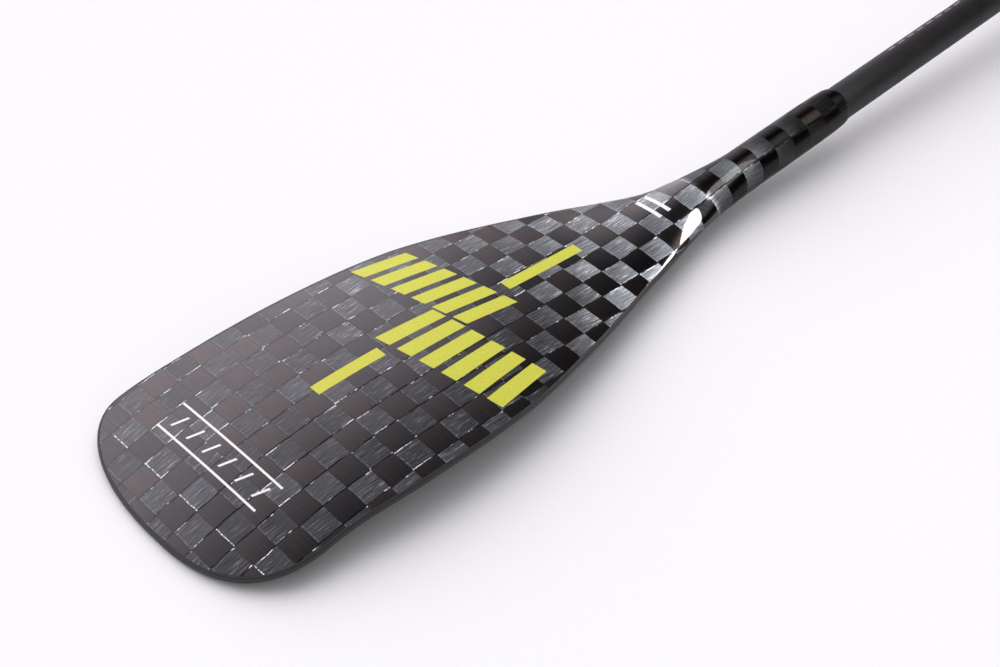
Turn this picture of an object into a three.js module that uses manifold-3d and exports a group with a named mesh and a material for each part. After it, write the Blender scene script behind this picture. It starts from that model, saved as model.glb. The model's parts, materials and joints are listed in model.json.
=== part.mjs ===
// A double-bladed kayak paddle with an adjustable two-piece shaft.
//
// Each blade is two carbon skins over a foam core, framed by a thick edge rim, and it
// narrows to a round neck whose sleeve grips the shaft tube. The two shaft tubes meet at a
// ferrule: the left half slides along the ferrule tube to change the length and turns on it
// to change the feather, and a cam lever on a split collar locks both.
//
// Millimetres. X runs along the shaft, the right blade at -X lies with its back up (+Z),
// and the group is moved at the end so that the middle of its box is the origin.

import * as THREE from 'three';
import { mergeVertices } from 'three/addons/utils/BufferGeometryUtils.js';
import Module from 'manifold-3d';

const wasm = await Module();
wasm.setup();

// ---- Driving dimensions ----

const PADDLE_LENGTH = 2080;
const REST_FEATHER = THREE.MathUtils.degToRad(-60);   // left blade's turn about +X at rest
const GAP = 0.3;                                      // between pieces that touch
const JOINT_GAP = 1.8;                                // between the two shaft tubes
const ROUND = 40;                                     // sides of a round piece
const ROD_SIDES = 24;                                 // sides of a plain rod

// Blade, in its own axes: u from the tip to the shaft, v across, w towards the back.
const CORNER = {
  long: { length: 52, power: 2.2 },                   // at the longer edge, +v
  short: { length: 75, power: 2.5 },                  // at the shorter edge, -v
};
const TIP_V = 19;                                     // furthest point of the tip
const LONG_EDGE = [[52, 132.5], [110, 128.3], [235, 119.8], [277, 114.8], [318, 105],
  [402, 73.8], [443, 54], [480, 36.5], [520, 24.5], [560, 18]];
const SHORT_EDGE = [[75, -76.5], [150, -82.8], [193, -84], [235, -82.3], [318, -67.2],
  [402, -45], [443, -35], [480, -27], [520, -20.5], [560, -18]];
const SPOON = { tip: 11.6, tipSlope: 0.27, peakAt: 147, peak: 29.7, flatAt: 500 };
const CAMBER = 0.00034;                               // fall to the edges, times v squared
const HALF_THICKNESS = [[0, 2.7], [60, 3.2], [150, 3.6], [300, 3.9], [385, 4.8],
  [440, 7.6], [480, 11], [520, 15.5], [560, 18]];
const EDGE_HALF = [[0, 2.5], [420, 2.5], [500, 0.15], [560, 0.15]];
const ROUNDING = [[0, 1], [380, 1], [450, 0.5], [560, 0.5]];   // 1 is a lens, 0.5 an oval
const RIM_WIDTH = [[0, 2], [400, 2], [448, 0.8]];
const RIM_END = 486;
const SKIN = 1.0;
const SKIN_END = 560;
const CORE_END = 540;
const CORE_MARGIN = THREE.MathUtils.degToRad(15);     // foam left out along the skins' edges
const STATIONS = [0.15, 1.2, 4, 8.5, 15, 24, 36, 52, 75, 110, 150, 195, 240, 280, 318, 350,
  380, 405, 425, 445, 465, 485, 505, 522, CORE_END];
const ACROSS = 12;                                    // panels across a skin

// Neck and shaft
const SHAFT = { outer: 15, inner: 13.5, start: 543 };
const SLEEVE = [[SKIN_END + GAP, 18], [600, 17.9], [645, 17.9], [667, 17.4], [676, 16.7],
  [678, 16.2]];
const BUNG = { start: 546, length: 26 };

// Ferrule, with x measured from the middle of the paddle
const FERRULE = { glued: 13.2, sliding: 12.6, inner: 11.2, start: -110, end: 130 };
const O_RING = { section: 0.7, x: 0.9 };
const BUSH = { inner: 12.7, outer: 13.3, start: 3, end: 29 };
const END_CAP = { flange: 12.4, plug: 10.9, thickness: 2.5, depth: 10 };

// Clamp, in axes that turn with the left half
const COLLAR = { inner: 15.3, outer: 18.4, start: 2, end: 27 };
const EAR = { reach: 28, halfHeight: 9, inset: 1.5, slot: 2.4 };
const BOLT = { y: 22.8, radius: 2.5, bore: 2.8, headRadius: 4.6, headLength: 6 };
const WASHER = { radius: 5.2, thickness: 1.4 };
const NUT = { radius: 5.2, length: 5 };
const PIN = { radius: 2, hole: 2.1, length: 17 };
const LEVER = { cam: 5.4, width: 17, fork: 6.8, inner: 20.2, outer: 24.4, from: 42, to: 158 };
const SLIT = { width: 1.6, length: 24 };
const SCREW = { radius: 1.5, length: 3.4, x: 22 };

// ---- Materials ----

function material(color, roughness, metalness = 0) {
  return new THREE.MeshStandardMaterial({ color, roughness, metalness });
}

const CARBON = material(0x3a3738, 0.3);
const SATIN_CARBON = material(0x2f2b2f, 0.5);
const RIM = material(0x39373b, 0.75);
const FOAM = material(0xd8d0bd, 0.9);
const SOFT_FOAM = material(0x8f9296, 0.95);
const BLACK_PLASTIC = material(0x1c1c1e, 0.55);
const WHITE_PLASTIC = material(0xd9d9d4, 0.5);
const LIME_PLASTIC = material(0xc9cc2c, 0.45);
const RUBBER = material(0x161616, 0.85);
const STEEL = material(0xb9bcc0, 0.3, 1);
const BRASS = material(0xb9974a, 0.35, 1);

// ---- Shape tools ----

// The value at x of a smooth curve through [x, value] knots, level beyond its ends.
function smooth(knots, x) {
  const last = knots.length - 1;
  if (x <= knots[0][0]) return knots[0][1];
  if (x >= knots[last][0]) return knots[last][1];
  const i = knots.findIndex((knot) => knot[0] > x) - 1;
  const rise = (k) => (knots[k + 1][1] - knots[k][1]) / (knots[k + 1][0] - knots[k][0]);
  const slope = (k) => {
    if (k === 0 || k === last) return 0;
    const before = rise(k - 1);
    const after = rise(k);
    return before * after <= 0 ? 0 : (2 * before * after) / (before + after);
  };
  const span = knots[i + 1][0] - knots[i][0];
  return hermite((x - knots[i][0]) / span, knots[i][1], slope(i) * span,
    knots[i + 1][1], slope(i + 1) * span);
}

function hermite(t, start, startRise, end, endRise) {
  const t2 = t * t;
  const t3 = t2 * t;
  return start * (2 * t3 - 3 * t2 + 1) + startRise * (t3 - 2 * t2 + t)
    + end * (3 * t2 - 2 * t3) + endRise * (t3 - t2);
}

function fromTriangles(points, triangles) {
  const geometry = new THREE.BufferGeometry();
  const numbers = points.flatMap((point) => [point.x, point.y, point.z]);
  geometry.setAttribute('position', new THREE.Float32BufferAttribute(numbers, 3));
  geometry.setIndex(triangles);
  return geometry;
}

// A closed slab between two grids of points, the first above the second. Rows run along u
// and columns towards -v.
function slab(top, bottom) {
  const rows = top.length;
  const columns = top[0].length;
  const points = [...top.flat(), ...bottom.flat()];
  const upper = (i, j) => i * columns + j;
  const lower = (i, j) => rows * columns + i * columns + j;
  const triangles = [];
  const quad = (a, b, c, d) => triangles.push(a, b, c, a, c, d);
  for (let i = 0; i < rows - 1; i += 1) {
    for (let j = 0; j < columns - 1; j += 1) {
      quad(upper(i, j), upper(i, j + 1), upper(i + 1, j + 1), upper(i + 1, j));
      quad(lower(i, j), lower(i + 1, j), lower(i + 1, j + 1), lower(i, j + 1));
    }
    quad(upper(i, 0), upper(i + 1, 0), lower(i + 1, 0), lower(i, 0));
    const edge = columns - 1;
    quad(upper(i, edge), lower(i, edge), lower(i + 1, edge), upper(i + 1, edge));
  }
  const end = rows - 1;
  for (let j = 0; j < columns - 1; j += 1) {
    quad(upper(0, j), lower(0, j), lower(0, j + 1), upper(0, j + 1));
    quad(upper(end, j), upper(end, j + 1), lower(end, j + 1), lower(end, j));
  }
  return fromTriangles(points, triangles);
}

// A closed bar through rings of points, capped flat at both ends.
function bar(rings) {
  const sides = rings[0].length;
  const triangles = [];
  for (let i = 0; i < rings.length - 1; i += 1) {
    for (let j = 0; j < sides; j += 1) {
      const a = i * sides + j;
      const b = i * sides + ((j + 1) % sides);
      triangles.push(a, b, b + sides, a, b + sides, a + sides);
    }
  }
  const end = (rings.length - 1) * sides;
  for (let j = 1; j < sides - 1; j += 1) {
    triangles.push(0, j + 1, j);
    triangles.push(end, end + j, end + j + 1);
  }
  return fromTriangles(rings.flat(), triangles);
}

// A ring-shaped body about the X axis from a closed [x, radius] profile.
function turned(profile) {
  const points = profile.map(([x, radius]) => new THREE.Vector2(radius, x));
  points.push(points[0].clone());
  return new THREE.LatheGeometry(points, ROUND).rotateZ(-Math.PI / 2);
}

function tube(start, end, outer, inner) {
  return turned([[start, inner], [start, outer], [end, outer], [end, inner]]);
}

function rod(radius, length, axis) {
  const geometry = new THREE.CylinderGeometry(radius, radius, length, ROD_SIDES);
  if (axis === 'x') geometry.rotateZ(-Math.PI / 2);
  if (axis === 'z') geometry.rotateX(Math.PI / 2);
  return geometry;
}

function box(low, high) {
  const size = high.map((value, k) => value - low[k]);
  const middle = high.map((value, k) => (value + low[k]) / 2);
  return new THREE.BoxGeometry(...size).translate(...middle);
}

function solid(geometry) {
  const bare = geometry.clone();
  bare.deleteAttribute('normal');
  bare.deleteAttribute('uv');
  const merged = mergeVertices(bare, 1e-4);
  return new wasm.Manifold(new wasm.Mesh({
    numProp: 3,
    vertProperties: new Float32Array(merged.attributes.position.array),
    triVerts: new Uint32Array(merged.index.array),
  }));
}

function geometryOf(body) {
  const mesh = body.getMesh();
  const geometry = new THREE.BufferGeometry();
  geometry.setAttribute('position', new THREE.BufferAttribute(mesh.vertProperties, 3));
  geometry.setIndex(new THREE.BufferAttribute(mesh.triVerts, 1));
  return geometry;
}

function joined(...geometries) {
  return geometryOf(geometries.map(solid).reduce((sum, next) => sum.add(next)));
}

function cut(geometry, ...tools) {
  return geometryOf(tools.map(solid).reduce((rest, tool) => rest.subtract(tool),
    solid(geometry)));
}

// ---- Blade surfaces ----

// Where the blade's outline is at u, on the long (+v) or the short (-v) side.
function outline(side, u) {
  const knots = side === 'long' ? LONG_EDGE : SHORT_EDGE;
  const { length, power } = CORNER[side];
  if (u >= length) return smooth(knots, u);
  const bulge = (1 - (1 - u / length) ** power) ** (1 / power);
  return TIP_V + (knots[0][1] - TIP_V) * bulge;
}

// The outline point at u moved outwards in the blade's plan by a distance.
function outlinePoint(side, u, distance) {
  const step = Math.min(0.05, u / 2);
  const slope = (outline(side, u + step) - outline(side, u - step)) / (2 * step);
  const sign = side === 'long' ? 1 : -1;
  const outward = new THREE.Vector2(-sign * slope, sign).normalize();
  return new THREE.Vector2(u, outline(side, u)).addScaledVector(outward, distance);
}

// Height of the blade's middle surface.
function middle(u, v) {
  const { tip, tipSlope, peakAt, peak, flatAt } = SPOON;
  const spoon = u < peakAt
    ? hermite(Math.max(u, 0) / peakAt, tip, tipSlope * peakAt, peak, 0)
    : hermite(Math.min((u - peakAt) / (flatAt - peakAt), 1), peak, 0, 0, 0);
  return spoon - CAMBER * v * v;
}

function inset(u) {
  return u < RIM_END ? smooth(RIM_WIDTH, u) + GAP : 0;
}

// One row of points across the blade, from +v to -v, on the back (facing 1) or the face
// (facing -1), sunk below the outer surface by depth. The angle goes from 0 at one edge to
// pi at the other, and margin is the angle left out at each.
function bladeRow(u, facing, depth, margin) {
  const from = outlinePoint('long', u, -inset(u));
  const to = outlinePoint('short', u, -inset(u));
  const at = (angle) => {
    const q = Math.cos(angle);
    const plan = from.clone().lerp(to, (1 - q) / 2);
    const edge = smooth(EDGE_HALF, u);
    const crown = smooth(HALF_THICKNESS, u) - edge;
    const half = edge + crown * Math.max(1 - q * q, 0) ** smooth(ROUNDING, u);
    return new THREE.Vector3(plan.x, plan.y, middle(plan.x, plan.y) + facing * half);
  };
  const row = [];
  for (let j = 0; j <= ACROSS; j += 1) {
    const angle = margin + ((Math.PI - 2 * margin) * j) / ACROSS;
    const step = 1e-3;
    const before = at(Math.max(angle - step, 0));
    const after = at(Math.min(angle + step, Math.PI));
    const along = after.sub(before);
    const inward = new THREE.Vector3(0, along.z, -along.y).normalize()
      .multiplyScalar(-facing);
    row.push(at(angle).addScaledVector(inward, depth));
  }
  return row;
}

function bladeGrid(stations, facing, depth, margin = 0) {
  return stations.map((u) => bladeRow(u, facing, depth, margin));
}

function skin(facing) {
  const stations = [...STATIONS, SKIN_END];
  const outside = bladeGrid(stations, facing, 0);
  const inside = bladeGrid(stations, facing, SKIN);
  return facing > 0 ? slab(outside, inside) : slab(inside, outside);
}

function foamCore() {
  const depth = SKIN + GAP;
  return slab(bladeGrid(STATIONS, 1, depth, CORE_MARGIN),
    bladeGrid(STATIONS, -1, depth, CORE_MARGIN));
}

// The rim's section at u: flat towards the skins and rounded outside.
function rimRing(side, u) {
  const width = smooth(RIM_WIDTH, u);
  const half = smooth(EDGE_HALF, u);
  const corner = Math.min(1.4, width * 0.4);
  const section = [[-width, -half], [-corner, -half], [-corner * 0.3, -half * 0.75],
    [0, -half * 0.3], [0, half * 0.3], [-corner * 0.3, half * 0.75], [-corner, half],
    [-width, half]];
  return section.map(([outward, height]) => {
    const plan = outlinePoint(side, u, outward);
    return new THREE.Vector3(plan.x, plan.y, middle(plan.x, plan.y) + height);
  });
}

function edgeRim() {
  const stations = [...STATIONS.filter((u) => u < RIM_END - 10), RIM_END - 0.5];
  const longSide = stations.map((u) => rimRing('long', u));
  const shortSide = stations.map((u) => rimRing('short', u)).reverse();
  return bar([...shortSide, ...longSide]);
}

function neckSleeve() {
  const last = SLEEVE.length - 1;
  return turned([[SLEEVE[0][0], SHAFT.outer + GAP], ...SLEEVE,
    [SLEEVE[last][0], SHAFT.outer + GAP]]);
}

function plug(start, length, radius) {
  return rod(radius, length, 'x').translate(start + length / 2, 0, 0);
}

// ---- Assembly ----

const paddle = new THREE.Group();

function add(parent, name, geometry, look) {
  const mesh = new THREE.Mesh(geometry, look);
  mesh.name = name;
  parent.add(mesh);
}

// One half of the paddle, its blade's tip at -X.
function addBladeHalf(parent, side, tubeEnd) {
  const tip = new THREE.Group();
  tip.position.x = -PADDLE_LENGTH / 2;
  parent.add(tip);
  add(tip, `${side}_back_skin`, skin(1), CARBON);
  add(tip, `${side}_face_skin`, skin(-1), CARBON);
  add(tip, `${side}_foam_core`, foamCore(), FOAM);
  add(tip, `${side}_edge_rim`, edgeRim(), RIM);
  add(tip, `${side}_neck_sleeve`, neckSleeve(), CARBON);
  add(tip, `${side}_shaft_bung`, plug(BUNG.start, BUNG.length, SHAFT.inner - GAP), SOFT_FOAM);
  return tube(SHAFT.start, PADDLE_LENGTH / 2 + tubeEnd, SHAFT.outer, SHAFT.inner)
    .translate(-PADDLE_LENGTH / 2, 0, 0);
}

function addFerrule(parent) {
  const { glued, sliding, inner, start, end } = FERRULE;
  add(parent, 'ferrule_tube', turned([[start, inner], [start, glued], [-0.2, glued],
    [-0.2, sliding], [end, sliding], [end, inner]]), SATIN_CARBON);
  add(parent, 'ferrule_o_ring', new THREE.TorusGeometry(sliding + GAP / 2 + O_RING.section,
    O_RING.section, 8, ROUND).rotateY(Math.PI / 2).translate(O_RING.x, 0, 0), RUBBER);
  add(parent, 'ferrule_bung', plug(start + 4, 24, inner - GAP), SOFT_FOAM);
  const { flange, plug: plugRadius, thickness, depth } = END_CAP;
  add(parent, 'ferrule_end_cap', joined(
    plug(end + GAP, thickness, flange),
    plug(end - depth, depth + thickness, plugRadius),
  ), BLACK_PLASTIC);
}

function clampCollar() {
  const { inner, outer, start, end } = COLLAR;
  const { reach, halfHeight, inset: sideInset, slot } = EAR;
  const ear = box([start + sideInset, inner - 2, -halfHeight],
    [end - sideInset, reach, halfHeight]);
  const middleX = (start + end) / 2;
  return cut(
    joined(rod(outer, end - start, 'x').translate(middleX, 0, 0), ear),
    rod(inner, end - start + 2, 'x').translate(middleX, 0, 0),
    box([start - 1, 0, -slot / 2], [end + 1, reach + 1, slot / 2]),
    rod(BOLT.bore, 3 * halfHeight, 'z').translate(middleX, BOLT.y, 0),
    rod(SCREW.radius + GAP, outer, 'z').translate(SCREW.x, 0, -outer / 2 - inner / 2),
  );
}

// Height of the lever's pin, above the ear, the washer and the cam.
const PIN_Z = EAR.halfHeight + GAP + WASHER.thickness + GAP + LEVER.cam;

function clampBolt(middleX) {
  const bottom = -EAR.halfHeight - GAP - NUT.length - 1.5;
  return cut(
    joined(
      rod(BOLT.radius, PIN_Z - bottom, 'z').translate(middleX, BOLT.y, (PIN_Z + bottom) / 2),
      rod(BOLT.headRadius, BOLT.headLength, 'x').translate(middleX, BOLT.y, PIN_Z),
    ),
    rod(PIN.hole, BOLT.headLength + 2, 'x').translate(middleX, BOLT.y, PIN_Z),
  );
}

function clampLever(middleX) {
  const { cam, width, fork, inner, outer, from, to } = LEVER;
  const start = THREE.MathUtils.degToRad(from);
  const end = THREE.MathUtils.degToRad(to);
  const arm = new THREE.Shape();
  arm.absarc(0, 0, outer, start, end, false);
  arm.absarc(0, 0, inner, end, start, true);
  const band = new THREE.ExtrudeGeometry(arm, { depth: width, bevelEnabled: false,
    curveSegments: 14 });
  // The shape's x and y become the paddle's y and z.
  band.applyMatrix4(new THREE.Matrix4().makeBasis(new THREE.Vector3(0, 1, 0),
    new THREE.Vector3(0, 0, 1), new THREE.Vector3(1, 0, 0)));
  band.translate(middleX - width / 2, 0, 0);
  const root = [Math.cos(start) * inner, Math.sin(start) * inner];
  const link = box([middleX - width / 2, root[0] - 1, root[1]],
    [middleX + width / 2, BOLT.y, PIN_Z + cam * 0.8]);
  return cut(
    joined(band, link, rod(cam, width, 'x').translate(middleX, BOLT.y, PIN_Z)),
    box([middleX - fork / 2, BOLT.y - cam - 0.6, 0],
      [middleX + fork / 2, BOLT.y + cam + 1, PIN_Z + cam + 1]),
    rod(PIN.hole, width + 2, 'x').translate(middleX, BOLT.y, PIN_Z),
  );
}

function addClamp(parent) {
  const middleX = (COLLAR.start + COLLAR.end) / 2;
  add(parent, 'clamp_collar', clampCollar(), BLACK_PLASTIC);
  add(parent, 'clamp_bolt', clampBolt(middleX), STEEL);
  add(parent, 'clamp_nut', cut(
    rod(NUT.radius, NUT.length, 'z'),
    rod(BOLT.bore, NUT.length + 2, 'z'),
  ).translate(middleX, BOLT.y, -EAR.halfHeight - GAP - NUT.length / 2), STEEL);
  add(parent, 'cam_washer', cut(
    rod(WASHER.radius, WASHER.thickness, 'z'),
    rod(BOLT.bore, WASHER.thickness + 2, 'z'),
  ).translate(middleX, BOLT.y, EAR.halfHeight + GAP + WASHER.thickness / 2), BRASS);
  add(parent, 'lever_pin', rod(PIN.radius, PIN.length, 'x')
    .translate(middleX, BOLT.y, PIN_Z), STEEL);
  add(parent, 'clamp_lever', clampLever(middleX), LIME_PLASTIC);
  add(parent, 'collar_screw', rod(SCREW.radius, SCREW.length, 'z')
    .translate(SCREW.x, 0, -COLLAR.outer + SCREW.length / 2 - GAP), STEEL);
}

// The right half, with the ferrule tube glued into its end.
const rightHalf = new THREE.Group();
paddle.add(rightHalf);
add(rightHalf, 'right_shaft_tube', addBladeHalf(rightHalf, 'right', -0.5), SATIN_CARBON);
addFerrule(rightHalf);

// The left half is the mirror of the right one, turned by the feather angle.
const leftHalf = new THREE.Group();
leftHalf.rotation.x = REST_FEATHER;
paddle.add(leftHalf);
const mirrored = new THREE.Group();
mirrored.scale.x = -1;
leftHalf.add(mirrored);
const leftTube = addBladeHalf(mirrored, 'left', -JOINT_GAP);
const slitBox = box([-SLIT.length - JOINT_GAP, -SHAFT.outer - 1, -SLIT.width / 2],
  [1, SHAFT.outer + 1, SLIT.width / 2]);
add(mirrored, 'left_shaft_tube', cut(leftTube, slitBox,
  rod(SCREW.radius + GAP, SHAFT.outer, 'z').translate(-SCREW.x, 0, -SHAFT.outer)), SATIN_CARBON);
addClamp(leftHalf);
add(leftHalf, 'ferrule_bush', tube(BUSH.start, BUSH.end, BUSH.outer, BUSH.inner),
  WHITE_PLASTIC);

// The middle of the whole paddle's box becomes the origin.
paddle.updateMatrixWorld(true);
const centre = new THREE.Box3().setFromObject(paddle, true).getCenter(new THREE.Vector3());
paddle.position.sub(centre);

export default paddle;
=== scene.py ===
import json
import math

import bpy
import numpy as np
from mathutils import Matrix, Vector
from mathutils.bvhtree import BVHTree

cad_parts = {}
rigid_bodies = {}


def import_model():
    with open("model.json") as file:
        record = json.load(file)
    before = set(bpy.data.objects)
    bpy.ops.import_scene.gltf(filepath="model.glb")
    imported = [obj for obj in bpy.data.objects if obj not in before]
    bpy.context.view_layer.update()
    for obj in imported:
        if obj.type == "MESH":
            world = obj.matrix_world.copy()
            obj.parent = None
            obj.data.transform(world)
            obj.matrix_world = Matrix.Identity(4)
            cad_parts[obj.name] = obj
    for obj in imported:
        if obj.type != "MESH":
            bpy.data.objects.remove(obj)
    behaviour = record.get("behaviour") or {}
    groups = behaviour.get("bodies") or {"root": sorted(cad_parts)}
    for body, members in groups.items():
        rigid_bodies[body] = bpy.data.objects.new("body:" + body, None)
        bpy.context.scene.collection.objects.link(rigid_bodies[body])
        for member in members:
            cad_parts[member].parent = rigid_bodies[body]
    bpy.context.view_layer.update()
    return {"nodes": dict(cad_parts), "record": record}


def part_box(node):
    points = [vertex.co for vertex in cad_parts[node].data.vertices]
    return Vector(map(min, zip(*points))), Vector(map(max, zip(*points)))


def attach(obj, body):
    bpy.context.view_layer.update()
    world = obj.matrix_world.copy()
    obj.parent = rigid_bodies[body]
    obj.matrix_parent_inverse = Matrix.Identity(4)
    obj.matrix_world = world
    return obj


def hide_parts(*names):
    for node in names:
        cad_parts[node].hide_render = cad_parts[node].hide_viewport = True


# A double-bladed carbon kayak paddle: the looks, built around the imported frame.
# Shapes are worked out in millimetres in the blade's own axes (u from the tip to the shaft,
# v across towards the longer edge, w towards the back) and placed in the frame in metres.

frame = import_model()
MM = 0.001

# ---- Driving dimensions, in millimetres ----

TWILL = 20.0                                  # side of one square of the cloth
SEAM_V = 108.1                                # a line between two lengthwise tows
SEAM_U = 27.5                                 # a line between two crosswise tows
PAINTED_SHEEN = (9.0, 17.0)                        # squares along, over which the lengthwise tows are painted brighter towards the neck, a painted sheen
SATIN_FROM = (23.9, 24.3)                     # squares along, where the gloss fades out
TIP_V = 19.0                                  # furthest point of the tip
LONG_CORNER = (52.0, 2.2)                     # length and power of the tip's corner
SHORT_CORNER = (75.0, 2.5)
# The outline past the corners, as (u, v).
LONG_EDGE = [(52, 132.5), (110, 128.3), (235, 119.8), (277, 114.8), (318, 105),
             (402, 73.8), (443, 54), (480, 36.5), (520, 24.5), (560, 18)]
SHORT_EDGE = [(75, -76.5), (150, -82.8), (193, -84), (235, -82.3), (318, -67.2),
              (402, -45), (443, -35), (480, -27), (520, -20.5), (560, -18)]
SPOON_TIP, SPOON_SLOPE = 11.6, 0.27           # height and rise of the middle surface at the tip
SPOON_PEAK_AT, SPOON_PEAK, SPOON_FLAT_AT = 147.0, 29.7, 500.0
CAMBER = 0.00034                              # drop across the blade, times v squared
# The cross-section along u: half its thickness in the middle and at the edge, and the power
# of the curve between them, where 1 makes a lens and 0.5 an oval.
HALF_THICKNESS = [(0, 2.7), (60, 3.2), (150, 3.6), (300, 3.9), (385, 4.8),
                  (440, 7.6), (480, 11), (520, 15.5), (560, 18)]
EDGE_HALF = [(0, 2.5), (420, 2.5), (500, 0.15), (560, 0.15)]
ROUNDING = [(0, 1), (380, 1), (450, 0.5), (560, 0.5)]
RIM_WIDTH = [(0, 2), (400, 2), (448, 0.8)]
RIM_CORNER, RIM_OVAL = 1.1, 2.6               # depth of the rim's round side, and its power
RIM_END, RIM_FADE = 486.0, 12.0               # past its end the skins close up over the fade
SKIN_END = 560.0                              # where the sleeve starts
SKIN = 1.0                                    # thickness of the cloth
GAP = 0.12                                    # seen between the rim and the skins
SLEEVE = [(560.05, 18), (600, 17.95), (645, 17.9), (665, 17.5), (674, 16.9), (677, 16.3),
          (678, 15.7)]
SLEEVE_BORE, SLEEVE_STEP = 15.3, 6.0
SHAFT_OUTER, SHAFT_INNER, SHAFT_START = 15.0, 13.5, 543.0

# Ferrule and clamp, with x from the middle of the paddle
FERRULE_START, FERRULE_END, FERRULE_GLUED, FERRULE_SLIDING, FERRULE_INNER = -110, 130, 13.2, 12.6, 11.2
RING_SECTION, RING_RADIUS, RING_X = 0.7, 13.45, 0.9
BUSH_START, BUSH_END, BUSH_OUTER, BUSH_INNER = 3, 29, 13.3, 12.7
CAP_FLANGE, CAP_PLUG, CAP_THICKNESS, CAP_DEPTH = 12.4, 10.9, 2.5, 10
COLLAR_INNER, COLLAR_OUTER, COLLAR_START, COLLAR_END = 15.3, 18.4, 2, 27
EAR_REACH, EAR_HALF, EAR_INSET, EAR_SLOT = 28, 9, 1.5, 2.4
MID_X = 14.5                                  # the middle of the collar
BOLT_Y, BOLT_RADIUS, BOLT_BORE, BOLT_HEAD, HEAD_LENGTH = 22.8, 2.5, 2.8, 4.6, 6
WASHER_RADIUS, WASHER_LOW, WASHER_HIGH = 5.2, 9.3, 10.7
NUT_RADIUS, NUT_LOW, NUT_HIGH = 5.2, -14.3, -9.3
PIN_Z, PIN_RADIUS, PIN_HOLE, PIN_LENGTH = 16.4, 2, 2.1, 17
CAM, LEVER_WIDTH, FORK, LEVER_INNER, LEVER_OUTER = 5.4, 17, 6.8, 20.2, 24.4
LEVER_FROM, LEVER_TO = math.radians(42), math.radians(158)
SLIT_WIDTH, SLIT_END = 1.6, 24
TUBE_END = {"right": -0.5, "left": -1.8}      # from the middle, in each half's own axes
SCREW_RADIUS, SCREW_HOLE, SCREW_X, SCREW_LOW, SCREW_HIGH = 1.5, 1.8, 22, -18.7, -15.3
CHAMFER = 0.4                                 # at the ends of the ferrule's tube and cap

# Marks on the back of each blade and on the shaft
PRINT_LIFT, PRINT_BASE = 0.05, 0.01           # top and underside of a print over the surface
DASHES, DASHES_FROM, DASH_PITCH, DASH_LENGTH = 11, 757, 13.5, 8.5
DASH_TURN, DASH_HALF_TURN = math.radians(24), math.radians(5)

TIP_LENGTH, ROWS_AT_TIP, ROWS = 60, 30, 124   # the tip, and rows of panels in it and past it
COLUMNS = 72                                  # panels across a skin
SIDES = 96                                    # sides of a large round piece
FEATHER = math.radians(-60)                   # turn of the left half about the shaft at rest

# ---- Where things are, from the frame ----

tube_low, tube_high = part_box("right_shaft_tube")
AXIS = Vector((0, (tube_low.y + tube_high.y) / 2, (tube_low.z + tube_high.z) / 2))
HALF_LENGTH = SHAFT_START - tube_low.x / MM   # from the tip to the middle, along the shaft
FROM_TIP = Vector((HALF_LENGTH, 0, 0))
LEFT = Matrix.Rotation(FEATHER, 4, "X")


def place(side, point):
    """A point of a half in its own axes, x from the middle of the paddle, in the frame. The
    clamp turns with the left half but isn't mirrored."""
    x, y, z = point
    if side == "clamp":
        return LEFT @ Vector((x, y, z)) * MM + AXIS
    if side == "left":
        return LEFT @ Vector((-x, y, z)) * MM + AXIS
    return Vector((x, y, z)) * MM + AXIS


# ---- Curves ----


def hermite(t, start, start_rise, end, end_rise):
    """A cubic from start at t = 0 to end at t = 1, with a given rise at each end."""
    t2 = t * t
    t3 = t2 * t
    return (start * (2 * t3 - 3 * t2 + 1) + start_rise * (t3 - 2 * t2 + t)
            + end * (3 * t2 - 2 * t3) + end_rise * (t3 - t2))


def smooth(knots, x):
    """The value at x of a smooth curve through (x, value) knots, level beyond its ends."""
    last = len(knots) - 1
    if x <= knots[0][0]:
        return knots[0][1]
    if x >= knots[last][0]:
        return knots[last][1]
    i = next(k for k in range(last) if knots[k + 1][0] > x)

    def rise(k):
        return (knots[k + 1][1] - knots[k][1]) / (knots[k + 1][0] - knots[k][0])

    def slope(k):
        if k in (0, last):
            return 0.0
        before, after = rise(k - 1), rise(k)
        return 0.0 if before * after <= 0 else 2 * before * after / (before + after)

    span = knots[i + 1][0] - knots[i][0]
    return hermite((x - knots[i][0]) / span, knots[i][1], slope(i) * span,
                   knots[i + 1][1], slope(i + 1) * span)


def outline(edge, u):
    """The v of an edge of the blade at u."""
    knots = LONG_EDGE if edge == "long" else SHORT_EDGE
    length, power = LONG_CORNER if edge == "long" else SHORT_CORNER
    if u >= length:
        return smooth(knots, u)
    bulge = (1 - (1 - u / length) ** power) ** (1 / power)
    return TIP_V + (knots[0][1] - TIP_V) * bulge


def outline_point(edge, u, distance):
    """The outline's point at u, moved outwards in the blade's plan by a distance."""
    step = min(0.05, u / 2)
    slope = (outline(edge, u + step) - outline(edge, u - step)) / (2 * step)
    sign = 1 if edge == "long" else -1
    outward = Vector((-sign * slope, sign)).normalized()
    return Vector((u, outline(edge, u))) + outward * distance


def spoon(u):
    """Height of the blade's middle surface over the shaft's axis, along its centre line."""
    if u < SPOON_PEAK_AT:
        return hermite(max(u, 0) / SPOON_PEAK_AT, SPOON_TIP, SPOON_SLOPE * SPOON_PEAK_AT,
                       SPOON_PEAK, 0)
    t = (u - SPOON_PEAK_AT) / (SPOON_FLAT_AT - SPOON_PEAK_AT)
    return hermite(min(t, 1), SPOON_PEAK, 0, 0, 0)


def middle(u, v):
    """Height of the blade's middle surface at (u, v)."""
    return spoon(u) - CAMBER * v * v


def stations(start, end):
    """The u of each row along the blade, close together at the tip's corners."""
    crowding = 2.4
    near = [TIP_LENGTH * (k / ROWS_AT_TIP) ** crowding for k in range(1, ROWS_AT_TIP)]
    far = [TIP_LENGTH + (SKIN_END - TIP_LENGTH) * k / ROWS for k in range(ROWS + 1)]
    return [u for u in near + far if start <= u <= end]


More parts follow.
